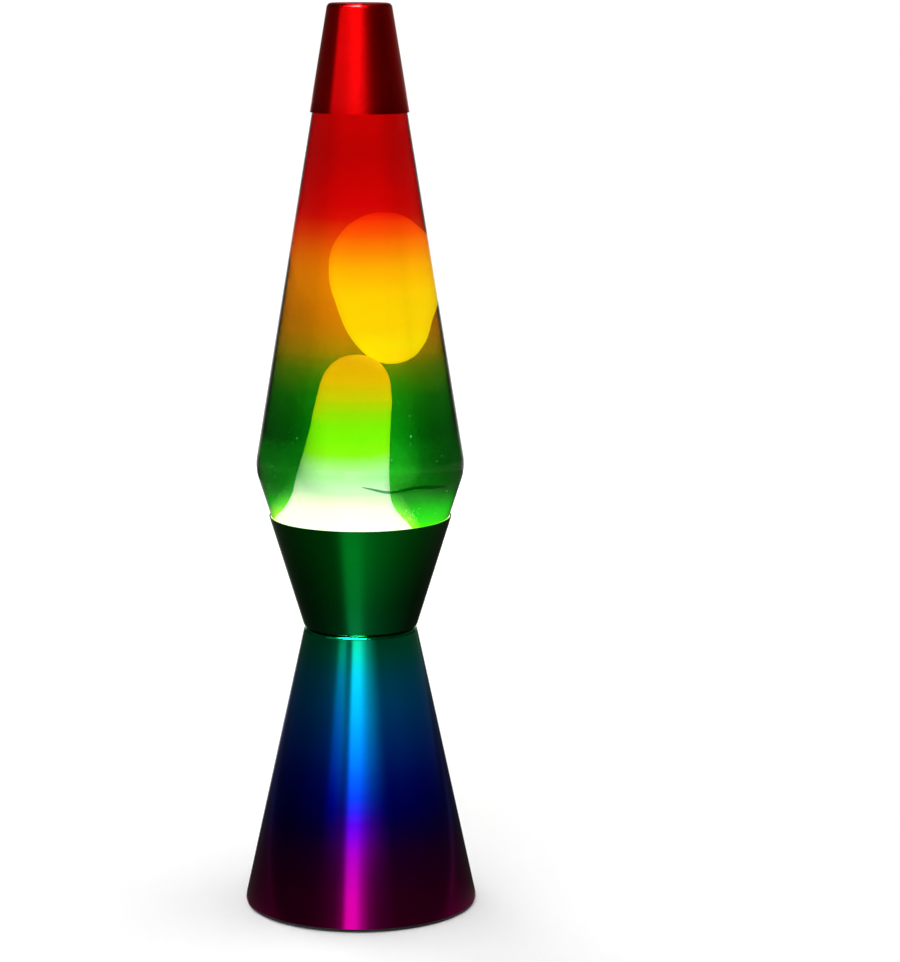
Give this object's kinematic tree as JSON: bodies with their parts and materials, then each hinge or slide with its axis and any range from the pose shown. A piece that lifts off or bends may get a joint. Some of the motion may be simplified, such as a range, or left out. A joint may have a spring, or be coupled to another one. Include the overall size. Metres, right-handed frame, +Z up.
{
  "type": "liquid motion lamp",
  "caption": "Table lamp with an hourglass metal base, a lift-out bottle of liquid and rising wax over a screw-in reflector bulb, and a tapered cap.",
  "frame": {"origin": "middle of the footprint, on the surface that the lamp stands on", "axes": "+Z up along the lamp's axis, -Y towards the front, +Y towards the cord's grommet"},
  "size_m": [0.1038, 0.1038, 0.4],
  "materials": {
    "cap_lacquer": "satin transparent red lacquer on brushed metal",
    "cup_lacquer": "satin transparent green lacquer on brushed metal",
    "cone_lacquer": "satin transparent lacquer on brushed metal, teal above, blue in the middle and violet below",
    "bottle_glass": "clear glass, coated red above, through amber, to green below",
    "liquid": "clear liquid, wet gloss",
    "wax": "translucent wax, soft gloss",
    "zinc_plate": "zinc plated, satin",
    "black_plate": "black powder coat, fine grain",
    "black_rubber": "matte",
    "clear_silicone": "translucent, matte",
    "closure_metal": "tinplate, bright",
    "closure_liner": "soft plastic, matte",
    "holder_resin": "black thermoset, satin",
    "holder_ceramic": "bare steatite, matte",
    "brass": "satin",
    "cap_aluminium": "bright, rolled thread",
    "bulb_glass": "frosted face, mirrored sides",
    "bulb_mount_glass": "clear",
    "insulator_glass": "black glass, gloss",
    "solder": "tinned, satin",
    "tungsten": "drawn wire, matte",
    "spring_steel": "drawn wire, satin"
  },
  "bodies": {
    "base": {"upper_cup": "cup_lacquer", "lower_cone": "cone_lacquer", "waist_ferrule": "zinc_plate", "seat_ring": "clear_silicone", "base_plate": "black_plate", "plate_lugs": "zinc_plate", "plate_screws": "zinc_plate", "foot_ring": "black_rubber", "socket_bracket": "zinc_plate", "bracket_screws": "zinc_plate", "bracket_nuts": "zinc_plate", "nipple": "zinc_plate", "nipple_locknut": "zinc_plate", "socket_cap": "holder_resin", "socket_body": "holder_resin", "socket_insert": "holder_ceramic", "socket_shell": "brass", "centre_contact": "brass", "side_contact": "brass", "contact_rivets": "brass", "terminal_blocks": "brass", "terminal_screws": "zinc_plate", "cord_grommet": "black_rubber"},
    "bulb_tip": {"bulb_contact_tip": "solder"},
    "bulb": {"bulb_insulator": "insulator_glass", "bulb_cap": "cap_aluminium", "bulb_glass": "bulb_glass", "bulb_stem": "bulb_mount_glass", "bulb_leads": "tungsten", "bulb_filament": "tungsten"},
    "bottle": {"bottle": "bottle_glass", "crown_cap": "closure_metal", "crown_liner": "closure_liner", "liquid": "liquid", "wax_column": "wax", "coil_ring": "spring_steel"},
    "wax_blob": {"wax_blob": "wax"},
    "cap": {"top_cap": "cap_lacquer"}
  },
  "joints": [
    {"name": "bottle_lift", "type": "slide", "parent": "base", "child": "bottle", "axis": [0, 0, 1], "range_m": [0, 0.06]},
    {"name": "cap_lift", "type": "slide", "parent": "bottle", "child": "cap", "axis": [0, 0, 1], "range_m": [0, 0.045]},
    {"name": "blob_rise", "type": "slide", "parent": "bottle", "child": "wax_blob", "axis": [-0.2079, 0, 0.9781], "range_m": [0, 0.04], "deforming": ["liquid"]},
    {"name": "bulb_lift", "type": "slide", "parent": "base", "child": "bulb_tip", "axis": [0, 0, 1], "range_m": [0, 0.00989]},
    {"name": "bulb_turn", "type": "hinge", "parent": "bulb_tip", "child": "bulb", "pos_m": [0, 0, 0.06], "axis": [0, 0, 1], "range_deg": [0, 1260]}
  ],
  "couplings": [
    {"joint": "bulb_lift", "follows": "bulb_turn", "m_per_rad": 0.00044914}
  ]
}
